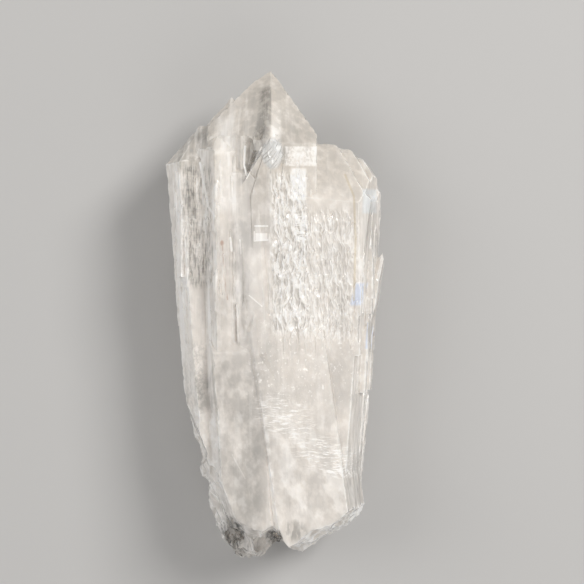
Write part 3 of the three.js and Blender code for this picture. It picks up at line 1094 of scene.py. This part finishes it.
def filled(
    places: list[np.ndarray],
    rim: list[tuple[int, int]],
    normal: np.ndarray,
    grain: float,
    rng: np.random.Generator,
) -> list[Face]:
    """Fills one flat face with even triangles.

    Args:
        places: All corners so far; the new ones inside the face are added.
        rim: The face's edges, as directed pairs of corners.
        normal: The face's outward direction.
        grain: The wanted length of an edge, in millimetres.
        rng: What moves the inner corners a little.

    Returns:
        The triangles, or an empty list where the face is too thin to fill.
    """
    used = sorted({corner for pair in rim for corner in pair})
    local = {corner: i for i, corner in enumerate(used)}
    solid = np.array([places[corner] for corner in used])
    right = np.cross(normal, [0.0, 0.0, 1.0] if abs(normal[2]) < LEVEL else [1.0, 0.0, 0.0])
    right /= np.linalg.norm(right)
    up = np.cross(normal, right)
    flat = np.stack([solid @ right, solid @ up], axis=1)
    pairs = [(local[a], local[b]) for a, b in rim]
    start, end = flat[[a for a, _ in pairs]], flat[[b for _, b in pairs]]
    low, high = flat.min(axis=0), flat.max(axis=0)
    across = np.arange(low[0], high[0], grain)
    along = np.arange(low[1], high[1], grain * ROW_STEP)
    grid = np.stack(np.meshgrid(across, along), axis=-1)
    grid[1::2, :, 0] += grain / 2
    grid = grid.reshape(-1, 2) + rng.uniform(-JITTER, JITTER, (grid.size // 2, 2)) * grain
    grid = sifted(grid, start, end, grain * RIM_GAP)
    points = [Vector(p) for p in np.vstack([flat, grid])]
    _, _, faces, origin, *_ = delaunay_2d_cdt(points, pairs, [], 0, SAME, True)
    if any(len(o) != 1 for o in origin):
        return []
    faces = within([[origin[i][0] for i in face] for face in faces], set(pairs))
    depth = float(solid.mean(axis=0) @ normal)
    if not faces:
        return []
    number = used + list(range(len(places), len(places) + len(grid)))
    places += [p[0] * right + p[1] * up + depth * normal for p in grid]
    return [tuple(number[i] for i in face) for face in faces]


# ---- The piece ----
@dataclass
class QuartzCluster:
    """The fused crystals: their faces, and the fine growth relief that is cut into them.

    The depths and the sway are in millimetres, and the crease is in degrees.
    """

    node: str = "quartz_cluster"
    piece: str = "quartz_body"
    slot: str = "quartz"
    crease: float = 7.0
    seed: int = 5
    ridge_depth: float = 0.16
    hillock_depth: float = 0.2
    swell_depth: float = 0.22
    rung_depth: float = 0.08
    fracture_depth: float = 0.32
    wear_depth: float = 0.16
    bite_depth: float = 0.8
    sway: float = 0.16
    finish: QuartzFinish = QuartzFinish()

    def faces(self) -> bpy.types.Object:
        """Copies the solid's faces, joins them up and divides them finely.

        Returns:
            The new object, at the origin.
        """
        skin = Skin.of(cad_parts[self.node].data).remade()
        made = bpy.data.objects.new(self.piece, skin.mesh(self.piece, self.crease))
        bpy.context.scene.collection.objects.link(made)
        return made

    def relief(self, made: bpy.types.Object, material: bpy.types.Material) -> None:
        """Cuts ridges, hillocks, rungs and fracture ripples into the faces with Geometry Nodes.

        Args:
            made: The object with the faces.
            material: What it is made of.
        """
        tree = bpy.data.node_groups.new("growth_relief", "GeometryNodeTree")
        depths = {
            "Ridge Depth": self.ridge_depth,
            "Hillock Depth": self.hillock_depth,
            "Swell Depth": self.swell_depth,
            "Rung Depth": self.rung_depth,
            "Fracture Depth": self.fracture_depth,
            "Wear Depth": self.wear_depth,
            "Bite Depth": self.bite_depth,
            "Sway": self.sway,
        }
        kinds = {"Geometry": "Geometry", **dict.fromkeys(depths, "Float")}
        kinds |= {"Seed": "Int", "Material": "Material"}
        for name, kind in kinds.items():
            tree.interface.new_socket(name, in_out="INPUT", socket_type=f"NodeSocket{kind}")
        tree.interface.new_socket("Geometry", in_out="OUTPUT", socket_type="NodeSocketGeometry")
        g = Graph(tree)
        given = g.node("NodeGroupInput", {}, {})
        values = {"Geometry": given.field("Geometry"), "Offset": self.offset(g, given)}
        cut = g.node("GeometryNodeSetPosition", {}, values)
        joined = g.node("GeometryNodeRealizeInstances", {}, {"Geometry": cut.field()})
        values = {"Geometry": joined.field(), "Material": given.field("Material")}
        dressed = g.node("GeometryNodeSetMaterial", {}, values)
        g.node("NodeGroupOutput", {}, {"Geometry": dressed.field()})

        modifier = made.modifiers.new("growth_relief", "NODES")
        modifier.node_group = tree
        set_to: dict[str, Any] = {**depths, "Seed": self.seed, "Material": material}
        for item in tree.interface.items_tree:
            if item.in_out == "INPUT" and item.name in set_to:
                modifier[item.identifier] = set_to[item.name]
        graph = bpy.context.evaluated_depsgraph_get()
        flat = bpy.data.meshes.new_from_object(made.evaluated_get(graph))
        made.modifiers.clear()
        made.data = flat
        flat.name = self.piece

    def offset(self, g: Graph, given: Made) -> Field:
        """Works out how far each place moves.

        Args:
            g: The relief's graph.
            given: Its inputs.

        Returns:
            The way to move, in metres.
        """
        place = g.stretched(g.node("GeometryNodeInputPosition", {}, {}).field(), TO_MM)
        normal = g.node("GeometryNodeInputNormal", {}, {}).field()
        q = Growth(g, place, normal)
        x, y, z, whole = q.x, q.y, q.z, 1 - q.broken
        seed = given.field("Seed") * 13.7
        moved = g.joined(x, y, z + seed)
        crest = g.node("GeometryNodeInputNamedAttribute", {"data_type": "FLOAT"}, {"Name": CREST})

        ridges = g.noise(q.grown, (0.95, 0.09, 0.95), 4.0).rise(0.34, 0.64)
        combed = 0.12 + q.columns * 0.2 + q.plan.patch(Patch.RIDGES) * 0.12
        dimples = q.pillows.rise(0.02, 0.32)
        swell = g.noise(moved, (0.1, 0.08, 0.1), 3.0)
        grit = g.noise(moved, (1.2, 0.8, 1.2), 2.0)
        shells = g.noise(moved, (0.33, 0.33, 0.33), 2.0)
        knocks = g.noise(moved, (0.9, 0.5, 0.9), 3.0).rise(0.42, 0.66)
        worn = crest.field("Attribute").rise(0.45, 0.0) * (1 - q.plan.patch(Patch.LEDGE))
        resting = q.nz.rise(-0.8, -0.95) * z.rise(0.6, 0.2)
        depth = (
            given.field("Ridge Depth") * ridges * combed * whole
            + given.field("Hillock Depth") * (dimples * 0.7 + grit * 0.3) * (q.hillocks + q.mid * 0.35)
            + given.field("Rung Depth") * q.rung * (0.15 + q.arc) * whole * q.prism
            + given.field("Fracture Depth") * (shells * 0.9 + grit * 0.15) * q.broken
            + given.field("Swell Depth") * (swell * 0.8 + grit * 0.15)
            + given.field("Wear Depth") * knocks * worn
        ) * (1 - resting)
        values = {0: normal, "Scale": depth * -MM}
        inward = g.node("ShaderNodeVectorMath", {"operation": "SCALE"}, values).field()
        # Breaks bite unevenly into the feet, and no edge is quite straight
        shore = g.noise(g.joined(x, z * 0.6, seed), (0.34, 0.34, 1.0), 4.0).rise(0.4, 0.72)
        cliff = g.noise(g.joined(y, z * 0.6, seed + 9.0), (0.4, 0.34, 1.0), 4.0).rise(0.4, 0.72)
        bite = given.field("Bite Depth")
        up = bite * shore * y.rise(-33.0, -40.5)
        right = bite * 0.7 * cliff * x.rise(-9.0, -13.5) * y.rise(-13.0, -18.0) * y.rise(-44.0, -39.0)
        sway = g.noise(moved, (0.32, 0.16, 0.32), 4.0, (2.0, 7.0, 4.0)) - 0.5
        aside = given.field("Sway") * sway * whole
        return g.stretched(g.joined(right + aside, up, 0.0), (MM, MM, MM), inward)

    def build(self) -> bpy.types.Object:
        """Makes, dresses and places the crystal.

        Returns:
            The finished piece.
        """
        made = self.faces()
        self.relief(made, self.finish.make())
        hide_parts(self.node)
        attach(made, "root")
        log.info("%s: %d triangles", self.piece, len(made.data.polygons))
        return made


# ---- The studio ----
@dataclass(frozen=True)
class Lamp:
    """A soft square studio light aimed at the crystal: its place and width are in metres."""

    name: str
    place: Triple
    width: float
    power: float
    tone: Rgb = Rgb(1.0, 1.0, 1.0)

    def build(self) -> None:
        """Adds the light."""
        data = bpy.data.lights.new(self.name, "AREA")
        data.shape = "SQUARE"
        data.size = self.width
        data.energy = self.power
        data.color = (self.tone.red, self.tone.green, self.tone.blue)
        lamp = bpy.data.objects.new(self.name, data)
        lamp.location = self.place
        lamp.rotation_euler = (-Vector(self.place)).to_track_quat("-Z", "Y").to_euler()
        bpy.context.scene.collection.objects.link(lamp)
        log.info("light %s", self.name)


@dataclass
class Studio:
    """A pale floor, soft lights and a camera that looks straight down.

    Sizes are in metres, but for the lens and the sensor, which are in millimetres.
    """

    floor_half: float = 1.5
    pixel: float = 0.195 * MM
    frame_pixels: int = 584
    centre_pixel: tuple[float, float] = (277.0, 317.0)
    lens: float = 85.0
    sensor: float = 36.0
    sky: float = 0.34
    sky_tone: Rgb = Rgb(1.0, 0.99, 0.975)
    lamps: tuple[Lamp, ...] = (
        Lamp("key", (0.42, 0.3, 0.5), 0.26, 3.5, Rgb(1.0, 0.985, 0.96)),
        Lamp("fill", (-0.46, 0.12, 0.42), 0.36, 1.15, Rgb(1.0, 0.985, 0.965)),
        Lamp("low", (0.14, -0.5, 0.36), 0.4, 0.65, Rgb(1.0, 0.985, 0.97)),
    )
    floor_finish: FloorFinish = FloorFinish()

    def floor(self) -> None:
        """Adds the floor."""
        half = self.floor_half
        mesh = bpy.data.meshes.new("floor")
        corners = [(-half, -half, 0.0), (half, -half, 0.0), (half, half, 0.0), (-half, half, 0.0)]
        mesh.from_pydata(corners, [], [(0, 1, 2, 3)])
        mesh.materials.append(self.floor_finish.make())
        floor = bpy.data.objects.new("floor", mesh)
        bpy.context.scene.collection.objects.link(floor)
        log.info("floor")

    def camera(self) -> None:
        """Adds the camera, framed so that each picture pixel covers the stated size at the outline."""
        data = bpy.data.cameras.new("camera")
        data.lens = self.lens
        data.sensor_width = self.sensor
        wide = self.frame_pixels * self.pixel
        camera = bpy.data.objects.new("camera", data)
        middle = self.frame_pixels / 2
        camera.location = (
            (middle - self.centre_pixel[0]) * self.pixel,
            (self.centre_pixel[1] - middle) * self.pixel,
            OUTLINE_HEIGHT * MM + wide * self.lens / self.sensor,
        )
        data.clip_start = 0.01
        bpy.context.scene.collection.objects.link(camera)
        bpy.context.scene.camera = camera

    def sky_light(self) -> None:
        """Adds the even light from all round."""
        world = bpy.data.worlds.new("studio")
        world.use_nodes = True
        g = Graph(world.node_tree)
        values = {"Color": self.sky_tone.rgba(), "Strength": self.sky}
        light = g.node("ShaderNodeBackground", {}, values)
        g.node("ShaderNodeOutputWorld", {}, {"Surface": light.field()})
        bpy.context.scene.world = world

    def build(self) -> None:
        """Adds everything round the crystal."""
        self.floor()
        self.camera()
        self.sky_light()
        for lamp in self.lamps:
            lamp.build()


def main() -> None:
    """Builds the crystal and the studio."""
    logging.basicConfig(level=logging.INFO, format="%(message)s")
    QuartzCluster().build()
    Studio().build()
    bpy.context.scene.view_settings.view_transform = "Standard"


if __name__ == "__main__":
    main()
